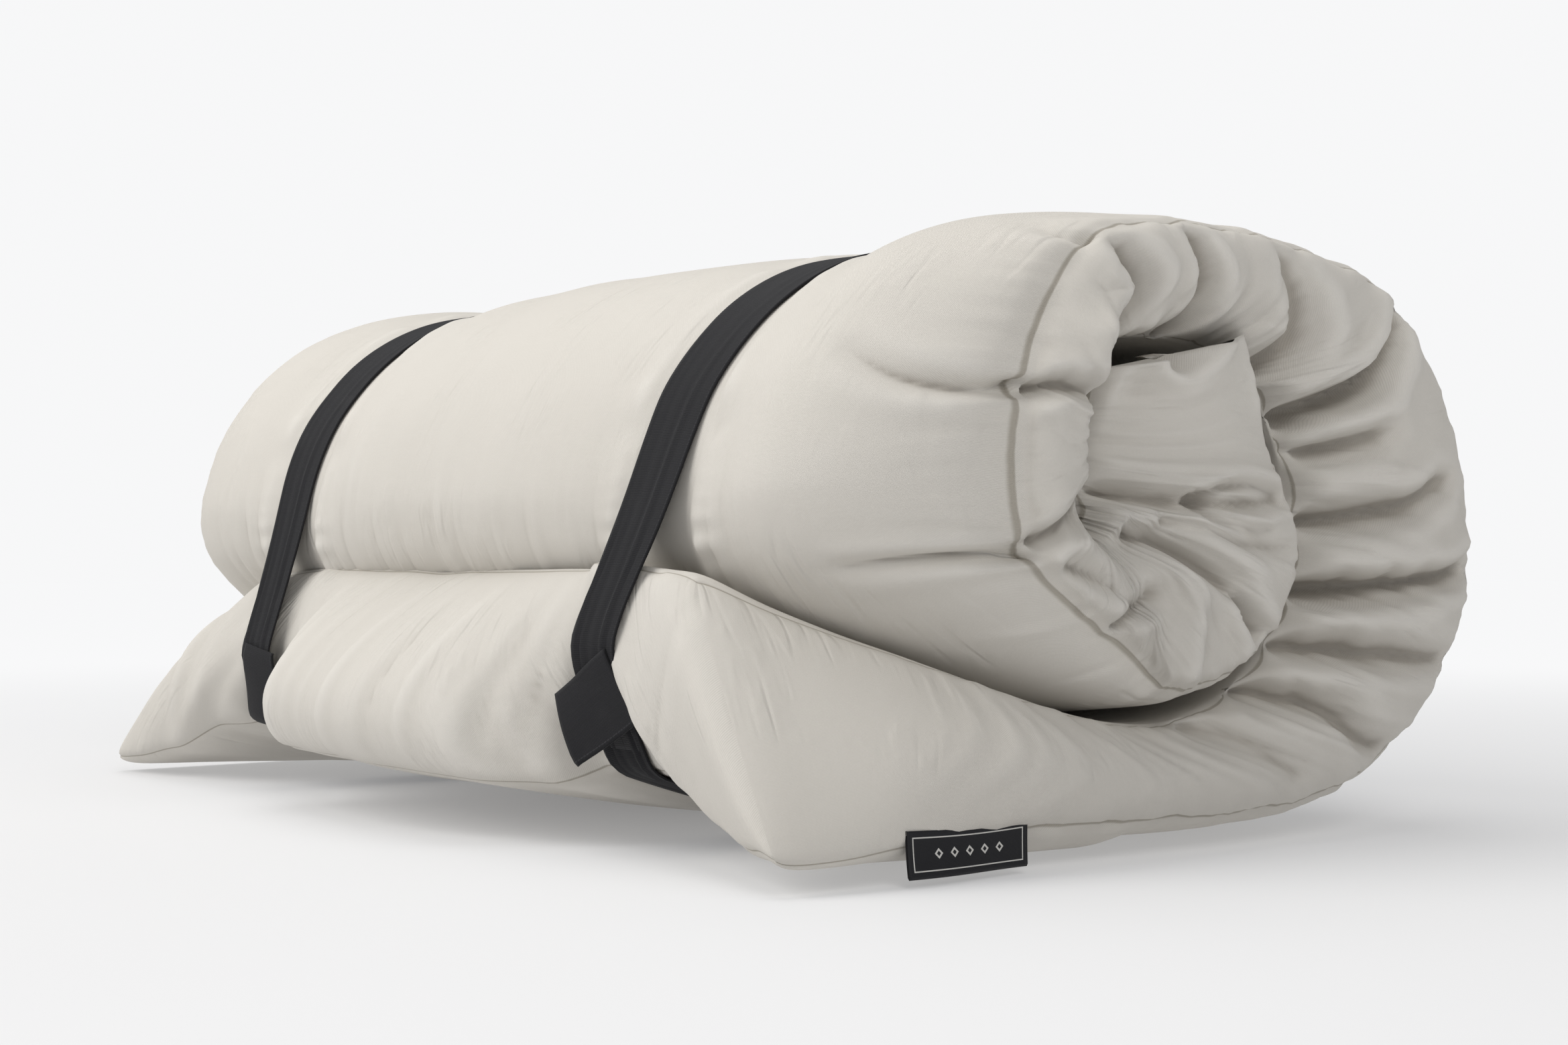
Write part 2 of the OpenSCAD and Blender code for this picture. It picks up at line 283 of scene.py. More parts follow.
def twill_cloth(name, light, dark, pitch=1.15, sheen=0.16, seam_painted_shade=0.0, wrinkle=LONG_WRINKLES):
    """Cotton twill: diagonal wales in relief over fine yarns, with slubs and wrinkles, painted shade in its
    folds and seams and a painted highlight on its ridges.
    """
    cloth = Finish(name)
    along, across = cloth.uv()
    wale = ridges(along + across, pitch)
    yarn = ridges(along - across * 0.35, pitch / 2)
    fuzz = cloth.noise(900.0, 2.0)
    patch = cloth.noise(5.0, 4.0)
    slubs = cloth.noise(0.9, 3.0, 0.6, cloth.flat_place(along * 0.9, across * 0.02))
    shade = wale * 0.30 + yarn * 0.12 + fuzz * 0.22 + patch * 0.30 + slubs * 0.08
    ground = cloth.blend(shade.ramp(0.2, 0.95), dark, light)
    # painted shade darkens the hollows of the folds and a painted highlight pales the ridges, clear of the
    # seams
    seam_gap, hollow = cloth.marked("seam_gap"), cloth.marked("hollow")
    clear = seam_gap.ramp(3.0, 18.0)
    painted_hollow_shade, painted_ridge_highlight = hollow.ramp(0.2, 8.0), (hollow * -1.0).ramp(0.4, 7.0)
    ground = cloth.blend(painted_hollow_shade * clear * 0.62, ground, rgb(0.46, 0.43, 0.395), "MULTIPLY")
    ground = cloth.blend(painted_ridge_highlight * clear * 0.3, ground, rgb(0.78, 0.755, 0.71))
    # painted shade along each seam: a thin dark line where the cloth dips into the seam groove
    seam = 1 - seam_gap.ramp(0.35, 1.2)
    ground = cloth.blend(seam * seam_painted_shade, ground, dark, "MULTIPLY")
    cloth.set(Base_Color=ground, Roughness=0.86 + fuzz * 0.1, Specular_IOR_Level=0.22)
    cloth.set(Sheen_Weight=sheen, Sheen_Roughness=0.45, Sheen_Tint=light)
    lines = cloth.noise(1.0, 2.0, 0.5, cloth.flat_place(along * wrinkle[0], across * wrinkle[1]))
    crease = (lines - 0.5).abs().ramp(0.0, 0.11)
    wrinkled = cloth.bump(crease * cloth.noise(14.0, 3.0).ramp(0.45, 0.72), 0.5, 0.0022)
    lay_bumps(cloth, wale * 0.75 + yarn * 0.25, 0.00022, fuzz + patch * 0.3, wrinkled)
    return cloth.material


def webbing_cloth(name, light, dark, rib, depth, sheen):
    """Webbing: ribs across it over lengthwise yarns, with dust, streaks and a row of stitches."""
    cloth = Finish(name)
    along, across = cloth.uv()
    ribs = ridges(along, rib)
    yarns = ridges(across, rib * 0.6)
    fuzz = cloth.noise(1100.0, 2.0)
    dust = cloth.noise(28.0, 4.0)
    streak = cloth.noise(1.0, 3.0, 0.6, cloth.flat_place(along * 0.006, across * 0.5))
    shade = ribs * 0.34 + yarns * 0.16 + fuzz * 0.2 + streak * 0.3
    ground = cloth.blend(shade.ramp(0.25, 0.9), dark, light)
    stitch = (across - 3.0).abs().under(0.45) * (along / 3.2).fract().under(0.72)
    ground = cloth.blend(stitch * 0.6, ground, rgb(0.04, 0.04, 0.044))
    ground = cloth.blend(dust.ramp(0.56, 0.85) * 0.2, ground, rgb(0.045, 0.044, 0.043))
    cloth.set(Base_Color=ground, Roughness=0.72 + fuzz * 0.2)
    cloth.set(Sheen_Weight=sheen, Sheen_Roughness=0.4, Specular_IOR_Level=0.22)
    lay_bumps(cloth, ribs * 0.7 + yarns * 0.3, depth, fuzz)
    return cloth.material


def hook_cloth(name, light, dark):
    """Hook-and-loop pad: rows of fine tufts."""
    cloth = Finish(name)
    along, across = cloth.uv()
    tufts = ridges(along, 1.5) * ridges(across, 1.5)
    fuzz = cloth.noise(1500.0, 3.0)
    shade = tufts * 0.6 + fuzz * 0.5
    cloth.set(Base_Color=cloth.blend(shade.ramp(0.2, 0.9), dark, light), Roughness=0.8 + fuzz * 0.15)
    lay_bumps(cloth, tufts + fuzz * 0.5, 0.0005, fuzz)
    return cloth.material


def label_ribbon():
    """Black satin ribbon with a thin woven frame and a row of plain lozenges."""
    cloth = Finish("label_ribbon")
    along, across = cloth.uv()
    ribs = ridges(across, 0.5)
    yarns = ridges(along, 0.8)
    fuzz = cloth.noise(900.0, 2.0)
    shade = ribs * 0.5 + yarns * 0.2 + fuzz * 0.4
    ground = cloth.blend(shade.ramp(0.2, 0.95), rgb(0.005, 0.005, 0.006), rgb(0.013, 0.013, 0.016))
    half_long, half_high, spacing = 50.5, 14.5, 13.0  # mm
    from_end = (along - half_long).abs()
    from_middle = (across - half_high).abs()
    border = (from_end.most(from_middle + (half_long - half_high)) - 46.2).abs().under(0.4)
    step = ((along - half_long) / spacing + 0.5).fract() - 0.5
    out = step.abs() * spacing + from_middle
    lozenge = out.under(3.4) * from_end.under(32.0)
    woven = border.most(lozenge * (1 - out.under(1.7)))
    cloth.set(
        Base_Color=cloth.blend(woven * (0.75 + ribs * 0.25), ground, rgb(0.62, 0.61, 0.58)),
        Roughness=0.46 + fuzz * 0.2 + woven * 0.2,
    )
    cloth.set(Specular_IOR_Level=0.28)
    lay_bumps(cloth, ribs * 0.5 + woven * 0.8, 0.00016, fuzz)
    return cloth.material


def wadding():
    """Layered cotton batting: soft matted fibres."""
    cloth = Finish("cotton_wadding")
    clump = cloth.noise(22.0, 5.0)
    fibre = cloth.noise(1.0, 4.0, 0.7, cloth.stretched(900.0, 60.0, 600.0))
    shade = clump * 0.5 + fibre * 0.5
    cloth.set(
        Base_Color=cloth.blend(shade.ramp(0.3, 0.75), rgb(0.60, 0.56, 0.48), rgb(0.78, 0.75, 0.68)),
        Roughness=0.9 + clump * 0.08,
    )
    lay_bumps(cloth, clump + fibre * 0.6, 0.002, fibre)
    return cloth.material


def zip_metal():
    """Dark nickel, brushed and smudged."""
    metal = Finish("zip_nickel")
    brush = metal.noise(1.0, 3.0, 0.6, metal.stretched(2600.0, 300.0, 2600.0))
    smudge = metal.noise(160.0, 3.0)
    metal.set(
        Base_Color=metal.blend(smudge.ramp(0.3, 0.75), rgb(0.34, 0.335, 0.33), rgb(0.50, 0.49, 0.475)),
        Metallic=1.0,
        Roughness=0.24 + brush * 0.18 + smudge * 0.12,
    )
    metal.set(Normal=metal.bump(brush, 0.2, 0.00008))
    return metal.material


def coil_nylon():
    """Grey nylon coil, a little shiny, rubbed paler in places."""
    nylon = Finish("coil_nylon")
    rub = nylon.noise(420.0, 3.0)
    nylon.set(
        Base_Color=nylon.blend(rub.ramp(0.35, 0.7), rgb(0.10, 0.10, 0.105), rgb(0.17, 0.17, 0.175)),
        Roughness=0.36 + rub * 0.25,
    )
    nylon.set(Normal=nylon.bump(rub, 0.25, 0.0001))
    return nylon.material


# ---------------------------------------------------------------- mesh helpers


def piece_from(bm, name):
    """Turns a bmesh into a smooth object of the scene, and frees it."""
    mesh = bpy.data.meshes.new(name)
    bm.to_mesh(mesh)
    bm.free()
    made = bpy.data.objects.new(name, mesh)
    bpy.context.scene.collection.objects.link(made)
    mesh.shade_smooth()
    return made


def read_rows(items, key, width, kind=np.float32):
    """A property of every item of a mesh, as rows of an array."""
    values = np.empty(len(items) * width, kind)
    items.foreach_get(key, values)
    return values.reshape(-1, width)


def write_rows(items, key, values):
    items.foreach_set(key, np.ascontiguousarray(values, np.float32).ravel())


def points_of(mesh):
    return read_rows(mesh.vertices, "co", 3).astype(float)


def normals_of(mesh):
    return read_rows(mesh.vertices, "normal", 3).astype(float)


def corners_of(mesh):
    """The number of the point at each corner of each polygon."""
    return read_rows(mesh.loops, "vertex_index", 1, np.int32)[:, 0]


def set_points(mesh, points):
    write_rows(mesh.vertices, "co", points)
    mesh.update()


def row_frame(points_mm):
    """Millimetres from the free end, the near side and the floor, to the row frame in metres."""
    return points_mm / 1000 + ORIGIN


def through(rows, t):
    """A smooth line through the rows of points, at each t from 0 to 1."""
    rows = np.asarray(rows, float)
    last = len(rows) - 1
    t = np.clip(t, 0, 1) * last
    i = np.minimum(t.astype(int), last - 1)
    f = (t - i)[..., None]
    a, b = rows[np.maximum(i - 1, 0)], rows[i]
    c, d = rows[i + 1], rows[np.minimum(i + 2, last)]
    return b + f * 0.5 * (c - a + f * (2 * a - 5 * b + 4 * c - d + f * (3 * (b - c) + d - a)))


def along_table(table, x):
    """Values in a table of (position, value, value, ...), eased between its rows."""
    table = np.asarray(table, float)
    i = np.clip(np.searchsorted(table[:, 0], x) - 1, 0, len(table) - 2)
    f = np.clip((x - table[i, 0]) / (table[i + 1, 0] - table[i, 0]), 0, 1)
    f = (f * f * (3 - 2 * f))[..., None]
    return table[i, 1:] * (1 - f) + table[i + 1, 1:] * f


def bell(x, width):
    """A soft bump: 1 where x is 0, and fading out past width either way."""
    return np.exp(-((x / width) ** 2))


# ---------------------------------------------------------------- the layer's sections

# Each line runs from the free end along the floor, up the back, over the top, down the
# front, round the fold and up the inner end. Points are x and z in mm.
OUTER_FULL = [
    (0, 40), (60, 24), (120, 12), (190, 4), (290, 2.5), (400, 2.5), (480, 8), (548, 34), (604, 80),
    (643, 142), (656, 215), (645, 292), (605, 360), (542, 408), (460, 428), (370, 432), (285, 429),
    (210, 413), (146, 376), (98, 322), (72, 262), (68, 222), (84, 186), (132, 142), (205, 104),
    (286, 90), (352, 94), (405, 112), (445, 150), (462, 205), (455, 252), (436, 292), (424, 325),
]
OUTER_SIDE = [
    (-8, 7), (39, 14), (92, 24), (190, 29), (300, 26), (400, 25), (482, 32), (548, 52), (606, 90),
    (648, 145), (662, 202), (652, 268), (618, 338), (560, 392), (484, 412), (400, 421), (326, 422),
    (256, 406), (220, 366), (197, 318), (190, 284), (191, 226), (204, 194), (246, 164), (294, 136),
    (322, 112), (362, 112), (405, 128), (444, 158), (464, 206), (446, 244), (420, 284), (402, 327),
]
INNER_FULL = [
    (84, 190), (104, 166), (146, 132), (208, 102), (272, 90), (330, 88), (386, 94), (430, 114), (460, 145),
    (480, 182), (488, 222), (484, 264), (468, 302), (438, 330), (400, 342), (360, 345), (320, 344),
    (284, 338), (258, 324), (244, 302), (240, 276), (240, 252), (240, 230), (243, 216), (249, 208),
    (256, 205), (263, 208), (268, 217), (271, 231), (273, 250), (275, 274), (277, 298), (280, 325),
]
INNER_SIDE = [
    (64, 190), (100, 168), (142, 149), (196, 119), (262, 96), (330, 85), (386, 96), (426, 114), (458, 144),
    (482, 182), (490, 226), (482, 268), (458, 305), (425, 331), (390, 345), (355, 350), (318, 348),
    (288, 340), (268, 323), (257, 300), (252, 276), (249, 256), (247, 240), (249, 229), (252, 223),
    (255, 221), (258, 224), (260, 230), (262, 239), (263, 251), (264, 268), (266, 290), (268, 321),
]
# How far in from the side the inner seam lies at each of those rows
INNER_SEAM_IN = [168, 120, 70, 30, 20, 18, 20, 22, 24, 26, 28, 30, 30, 30, 28] + [26] * 17 + [22]
# Along the roll: y, and where the free end's lower edge lies, x and z
FREE_EDGE = [
    (0, -8, 7), (60, 20, 14), (100, 30, 26), (145, 30, 46), (190, 46, 56), (230, 58, 56), (275, 30, 42),
    (340, 2, 42), (500, -4, 44), (640, 6, 46), (720, 44, 56), (770, 66, 58), (830, 44, 50), (910, 22, 24),
    (970, 8, 10), (1000, 2, 6),
]
# Along the roll: y, and where the crease under the front lies, x and z
CREASE = [
    (0, 64, 186), (150, 66, 186), (190, 52, 198), (230, 50, 198), (280, 66, 192), (500, 84, 190),
    (720, 84, 190), (770, 82, 190), (850, 92, 182), (1000, 96, 172),
]
# In mm: half of the width that a drawn-up strap holds, how far from its middle it draws the cloth,
# and how high the outside of the layer lies where it rests on the floor
GRIP, STRAP_REACH, FLOOR_GAP = 31, 125, 2.5


def under_strap(y):
    """How far a point at y lies under a strap, from 0 to 1."""
    return sum(np.clip((GRIP + 15 - np.abs(y - strap)) / 12, 0, 1) for strap in STRAPS)


def settled(y):
    """y with each strap's width drawn together, so that the section under a strap is one and the same."""
    for strap in STRAPS:
        off = y - strap
        held = GRIP + 4
        drawn = np.sign(off) * np.clip(np.abs(off) - held, 0, None) * STRAP_REACH / (STRAP_REACH - held)
        y = np.where(np.abs(off) < STRAP_REACH, strap + drawn, y)
    return y


def outer_line(u, y):
    """The outside of the layer, in mm, at u along the spiral and y along the roll."""
    full, side = through(OUTER_FULL, u), through(OUTER_SIDE, u)
    from_near = np.clip(y / (165 - 130 * np.clip((u - 0.9) / 0.07, 0, 1)), 0, 1)
    from_far = np.clip((LENGTH - y) / 95, 0, 1)
    near, far = np.sqrt(1 - (1 - from_near) ** 2), np.sqrt(1 - (1 - from_far) ** 2)
    line = side + (full - side) * near[..., None]
    line = np.where((y > LENGTH / 2)[..., None], full + (side - full) * 0.36 * (1 - far[..., None]), line)
    y = settled(y)
    # the roll is fullest at its near end
    middle = np.array([345.0, 215.0])
    away = line - middle
    away = away / (np.linalg.norm(away, axis=-1, keepdims=True) + 1e-6)
    on_roll = np.clip((u - 0.16) / 0.1, 0, 1) * np.clip((0.70 - u) / 0.06, 0, 1)
    grow = 9 * bell(y - 95, 75) + 4 * bell(y - 500, 150) + 5 * bell(y - 900, 70)
    pull = sum(bell(y - strap, 60) for strap in STRAPS) * 9
    line = line + away * ((grow - pull) * on_roll)[..., None]
    # the free end's lower edge lifts off the floor between the straps
    last = 4 / (len(OUTER_FULL) - 1)
    share = np.clip(1 - u / last, 0, 1)
    edge = along_table(FREE_EDGE, y)
    start = through(OUTER_FULL, np.full_like(u, last))
    lifted = np.stack([
        start[..., 0] + (edge[..., 0] - start[..., 0]) * share,
        FLOOR_GAP + (edge[..., 1] - FLOOR_GAP) * share**1.5,
    ], -1)
    weight = np.clip(y / 60, 0, 1)[..., None]
    return np.where((u < last)[..., None], line * (1 - weight) + lifted * weight, line)


def inner_line(u, y):
    """The inside of the layer, in mm, at u along the spiral and y along the roll."""
    full, side = through(INNER_FULL, u), through(INNER_SIDE, u)
    near = np.clip(y / 110, 0, 1)[..., None]
    line = side + (full - side) * near
    last = 2 / (len(INNER_FULL) - 1)
    share = np.clip(1 - u / last, 0, 1)[..., None]
    crease = along_table(CREASE, settled(y))
    # room over the zip pull where it rests
    line[..., 1] += 11 * bell(y - 958, 60) * bell(u - 0.47, 0.07)
    moved = crease - through(INNER_FULL, np.zeros_like(u))
    return line + moved * share * np.clip(y / 160, 0, 1)[..., None]


def seam_in(u):
    """How far in from the side the inner seam lies, in mm, at u along the spiral."""
    return through(np.array(INNER_SEAM_IN, float)[:, None], u)[..., 0]


# The inner end's corner at the near side: how far it turns up, and how far along the roll that reaches
UPTURN, UPTURN_REACH = 28, 8.5


def shape(u, v, w):
    """The slab's point (u along, v across, w through, each 0 to 1) in the rolled mattress, in mm."""
    y_out = v * LENGTH
    y_in = seam_in(u) + v * (LENGTH - 2 * seam_in(u))
    far_ear = np.clip(1 - u / 0.1, 0, 1) * np.clip((v - 0.9) / 0.1, 0, 1)
    y_out = y_out + 26 * far_ear
    outer, inner = outer_line(u, y_out.clip(0, LENGTH)), inner_line(u, y_in)
    ow = w[..., None]
    section = outer * (1 - ow) + inner * ow
    # the inner end's corner turns up a little at the near side
    section[..., 1] += UPTURN * bell(y_out, UPTURN_REACH) * np.clip((u - 0.955) / 0.045, 0, 1) * (1 - w)
    y = y_out * (1 - w) + y_in * w
    return np.stack([section[..., 0], y, section[..., 1]], -1)


def slab(cuts):
    """A closed box of unit size, cut into an even grid. Returns its bmesh."""
    bm = bmesh.new()
    bmesh.ops.create_cube(bm, size=1.0, matrix=Matrix.Translation((0.5, 0.5, 0.5)))
    for axis, count in enumerate(cuts):
        edges = [e for e in bm.edges if abs(e.verts[0].co[axis] - e.verts[1].co[axis]) > 0.5]
        bmesh.ops.subdivide_edges(bm, edges=edges, cuts=count - 1, use_grid_fill=True)
    return bm


# ---------------------------------------------------------------- folds and swelling

# In mm: the outer panel's length along the spiral, and the borders' width from seam to seam, taken as even
SPIRAL, BORDER = 2180, 150
# Along the roll: y, and how far the free end's border swells out
FREE_END_SWELL = [
    (0, 6), (100, 14), (190, 24), (230, 22), (290, 44), (400, 64), (500, 68), (640, 62), (720, 34),
    (770, 24), (830, 34), (920, 24), (1000, 8),
]
# Folds of the side border: (depth, width, points in x and z)
SIDE_FOLDS = [
    (26, 8, [(262, 330), (283, 359), (286, 380), (265, 402)]),
    (24, 7, [(324, 334), (349, 352), (354, 371), (348, 394), (337, 416)]),
    (18, 10, [(432, 324), (459, 347), (460, 366), (445, 388), (431, 410)]),
    (28, 8, [(453, 295), (521, 318), (552, 349), (576, 384)]),
    (20, 6, [(467, 278), (478, 292), (495, 299)]),
    (20, 8, [(465, 273), (507, 279), (551, 291)]),
    (20, 8, [(498, 224), (573, 236), (622, 259)]),
    (24, 7, [(485, 176), (550, 179), (619, 184), (667, 196)]),
    (10, 7, [(490, 168), (533, 170), (586, 167)]),
    (18, 8, [(460, 135), (507, 132), (550, 128), (640, 122)]),
    (20, 9, [(415, 107), (477, 94), (519, 70), (566, 60)]),
    (10, 10, [(357, 85), (399, 71), (447, 45)]),
    (16, 6, [(255, 244), (327, 236), (384, 235), (424, 237), (450, 240)]),
    (8, 4, [(346, 238), (369, 246), (400, 247), (442, 242)]),
    (9, 6, [(316, 223), (353, 216), (400, 206), (462, 207)]),
    (7, 5, [(353, 229), (400, 216), (452, 224)]),
    (16, 8, [(287, 214), (327, 203), (368, 183), (400, 156), (412, 132)]),
    (14, 5, [(384, 162), (407, 150), (423, 148)]),
    (14, 5, [(188, 303), (210, 308), (231, 306), (257, 298)]),
    (13, 6, [(180, 201), (210, 215), (246, 243)]),
    (9, 5, [(265, 150), (283, 166), (298, 178)]),
    (12, 6, [(259, 297), (246, 283), (255, 276)]),
    (8, 6, [(223, 194), (251, 183), (283, 166)]),
]
# Ridges of the side border: (height, width, points in x and z)
SIDE_RIDGES = [
    (16, 14, [(251, 242), (283, 215), (319, 180), (323, 148), (326, 116)]),
    (10, 16, [(236, 340), (240, 300), (232, 262)]),
]


def to_line(points, line):
    """Distance from each 2-D point to a line of points, and how far along the line it lies, 0 to 1."""
    line = np.asarray(line, float)
    best = np.full(len(points), 1e9)
    where = np.zeros(len(points))
    lengths = np.linalg.norm(np.diff(line, axis=0), axis=1)
    gone = 0.0
    for a, b, length in zip(line, line[1:], lengths):
        t = np.clip((points - a) @ (b - a) / length**2, 0, 1)
        d = np.linalg.norm(points - (a + t[:, None] * (b - a)), axis=1)
        closer = d < best
        best[closer] = d[closer]
        where[closer] = ((gone + t * length) / lengths.sum())[closer]
        gone += length
    return best, where


def fold_height(points, folds, shallow=0.35):
    """Height of a panel's folds at its flat points: each is a sharp valley with a soft roll beside it."""
    height = np.zeros(len(points))
    for depth, width, line in folds:
        line = through(line, np.linspace(0, 1, 4 * len(line)))
        d, t = to_line(points, line)
        d = d + 0.8 * width * np.clip(t * 12 - 11, 0, 1)
        fade = 1 - (1 - shallow) * t**1.5
        height -= 1.5 * depth * fade * (0.6 * np.exp(-d / (0.7 * width)) + 0.5 * bell(d, 1.3 * width))
        height += 0.42 * depth * fade * bell(d - 2.6 * width, 1.5 * width)
    return height


def ripple(x, seed):
    """An uneven wave of about unit height along x, in waves of about 1 unit."""
    wave = 0
    for k in range(5):
        wander = 1.3 * np.sin(x * (0.9 + 0.31 * k) + seed)
        wave = wave + np.sin(x * (3.1 + 2.3 * k) + seed * (1.7 + k * 2.9) + wander) / (1.4 + k)
    return wave / 1.6


def swell(points, flat):
    """Fills the borders out between their seams."""
    u, v, w = flat.T
    rise = np.sin(np.pi * np.clip(w, 0, 1)) ** 0.75
    on_near, on_far, on_tail = v < 1e-6, v > 1 - 1e-6, u < 1e-6
    puff = (30 - 20 * np.clip(1 - u / 0.09, 0, 1)) * rise
    points[on_near, 1] -= puff[on_near]
    points[on_far, 1] += puff[on_far] * 0.8
    out = along_table(FREE_END_SWELL, settled(points[:, 1].clip(0, LENGTH)))[..., 0] * rise
    points[on_tail, 0] -= out[on_tail]
    points[on_tail, 2] -= (out * 0.12)[on_tail]
    return points


def relaxed(mesh, points, weight, rounds):
    """Moves each point towards the middle of its neighbours, as far as its weight allows."""
    ends = read_rows(mesh.edges, "vertices", 2, np.int32)
    size = len(points)
    count = np.bincount(ends.ravel(), minlength=size)[:, None]
    a, b = ends.T
    for _ in range(rounds):
        total = [np.bincount(a, points[b, k], size) + np.bincount(b, points[a, k], size) for k in range(3)]
        points = points + (np.stack(total, -1) / count - points) * weight[:, None]
    return points


def press_folds(points, flat):
    """Presses the folds into the near and the far border."""
    _, v, w = flat.T
    for mask, sign, drift in ((v < 1e-6, 1, 0), (v > 1 - 1e-6, -1, 9)):
        side = points[mask][:, [0, 2]]
        side = side + drift * np.stack([ripple(side[:, 1] / 90, 3), ripple(side[:, 0] / 90, 5)], -1)
        share = np.clip(w[mask] * (1 - w[mask]) * 14, 0.25, 1)
        depth = fold_height(side, SIDE_FOLDS) * share
        for height, width, line in SIDE_RIDGES:
            d, _ = to_line(side, through(line, np.linspace(0, 1, 20)))
            depth += height * bell(d, width) * share
        points[mask, 1] -= depth * sign
    return points


# Folds of the outer panel: (depth, width, points along the spiral and along the roll)
OUTER_FOLDS = [
    (12, 8, [(1322, -4), (1306, 40), (1280, 84)]),
    (12, 8, [(1480, -4), (1486, 40), (1494, 80)]),
    (7, 7, [(1165, -4), (1150, 40)]),
    (6, 7, [(870, -4), (880, 50), (875, 90)]),
    (7, 7, [(655, -4), (660, 60)]),
    (6, 7, [(760, -4), (750, 50)]),
]


def ruffle(points, flat, normals):
    """Soft waves and small gathers over the whole cover, along its normals."""
    u, v, w = flat.T
    s, y = u * SPIRAL, points[:, 1]
    outer = (w < 1e-6).astype(float)
    on_tail = (u < 1e-6).astype(float)
    on_side = ((v < 1e-6) | (v > 1 - 1e-6)).astype(float)
    height = 2.0 * ripple(s / 210 + y / 330, 1) * ripple(y / 190 - s / 400, 2)
    # gathers at the seams
    body = np.clip((s - 120) / 60, 0, 1)
    gather = ripple(s / 26, 4) * bell(y, 26) + ripple(s / 29, 7) * bell(LENGTH - y, 26)
    height += outer * 1.6 * gather * body
    edge = np.minimum(w, 1 - w) * BORDER
    height += on_side * 1.4 * ripple(s / 24, 9) * bell(edge, 22) * body
    # fine upright wrinkles over the crease
    crease = bell(s - 1440, 90) + 0.8 * bell(s - 1560, 60)
    inside = np.clip(np.minimum(y - 110, 930 - y) / 60, 0, 1)
    fine = np.abs(ripple(y / 30 + s / 900, 11)) + 0.5 * np.abs(ripple(y / 17 - s / 700, 23))
    height -= outer * 5.5 * (0.6 - fine).clip(0, 1) * crease * inside
    dimple = (0.6 - np.abs(ripple(y / 52 + 0.4 * w, 19))).clip(0, 1)
    height -= on_tail * 5.0 * dimple * np.sin(np.pi * w) * inside
    # small puckers that run out from the crevice over the near and the far border
    pucker = (0.6 - np.abs(ripple(s / 40 + 0.5 * np.sin(4 * w + s / 90), 31))).clip(0, 1)
    height -= on_side * 5.0 * pucker * np.sin(np.pi * w) ** 0.7 * (0.35 + 0.65 * w) * body
    height += on_tail * 2.6 * ripple(y / 46 + 0.5 * w, 17) * np.sin(np.pi * w) * inside
    # cloth rises beside each strap
    for strap in STRAPS:
        beside = bell(np.abs(y - strap) - GRIP - 18, 16)
        height += (outer + on_tail) * 4.0 * beside * (1 + 0.6 * ripple(s / 60, 13))
    pressed = fold_height(np.stack([s, y], -1), OUTER_FOLDS, 0.1)
    height = (height + outer * pressed * 0.6) * (1 - under_strap(y))
    return points + normals * height[:, None]


def seam_groove(points, flat, normals):
    """Draws the panels in along their seams."""
    u, v, w = flat.T
    on_side = (v < 1e-6) | (v > 1 - 1e-6)
    on_end = (u < 1e-6) | (u > 1 - 1e-6)
    edge = np.minimum(w, 1 - w) * BORDER
    from_side = np.minimum(v, 1 - v) * LENGTH
    gap = np.where(on_side | on_end, edge, from_side)
    return points - normals * (1.3 * bell(gap, 3.2))[:, None]


# ---------------------------------------------------------------- the cover


def even_ends(x, tight=0.45):
    """Moves even steps from 0 to 1 closer together at both ends."""
    return x - (1 - tight) * np.sin(2 * np.pi * x) / (2 * np.pi)


def rolled(name, cuts):
    """A slab bent into the rolled mattress. Returns its object, each point's u, v and w, and its place."""
    made = piece_from(slab(cuts), name)
    flat = points_of(made.data)
    flat[:, 1] = even_ends(flat[:, 1])
    u, v, w = flat.T
    points = swell(shape(u, v, w), flat)
    from_side = np.minimum(v, 1 - v) * LENGTH
    round_off = bell(u * SPIRAL, 85) * bell(from_side, 85)
    points = relaxed(made.data, points, 0.6 * round_off, 60)
    points = relaxed(made.data, points, np.full(len(u), 0.4), 3)
    points = press_folds(points, flat)
    points = relaxed(made.data, points, np.full(len(u), 0.3), 1)
    points[:, 2] = np.maximum(points[:, 2], 1.2)
    for change in (ruffle, seam_groove):
        set_points(made.data, row_frame(points))
        points = change(points, flat, normals_of(made.data))
    points[:, 2] = np.maximum(points[:, 2], 0.6)
    set_points(made.data, row_frame(points))
    mark_hollows(made.data, points)
    return made, flat, points


def mark_hollows(mesh, points):
    """Keeps how far each point lies below the cloth round it, in mm, for the painted shade in the folds and
    the painted highlight on their ridges.
    """
    normals = normals_of(mesh)
    depth = 0
    for rounds, share in ((8, 0.9), (30, 0.8)):
        evened = relaxed(mesh, points, np.full(len(points), 0.8), rounds)
        depth = depth + share * ((evened - points) * normals).sum(-1)
    hollow = mesh.attributes.new("hollow", "FLOAT", "POINT")
    write_rows(hollow.data, "value", depth)


# The faces of a slab, in the order that facing_of tries them
OUTER, INNER, NEAR, FAR, FREE_END, INNER_END = range(6)
# How much cloth the grid counts over each panel, and between the cross seams, in mm
OUTER_GRID, INNER_GRID, BORDER_GRID, SEAM_TO_SEAM = 2080, 1500, 165, 2100


def facing_of(mesh, flat):
    """The face of the slab that each polygon lies on, and the middle of its u, v and w."""
    four = flat[corners_of(mesh).reshape(-1, 4)]
    low, high = four.min(1), four.max(1)
    kind = np.zeros(len(four), np.int32)
    for number, (axis, value) in enumerate(((2, 0), (2, 1), (1, 0), (1, 1), (0, 0), (0, 1))):
        same = (np.abs(low[:, axis] - value) < 1e-6) & (np.abs(high[:, axis] - value) < 1e-6)
        kind[same] = number
    return kind, four.mean(1)


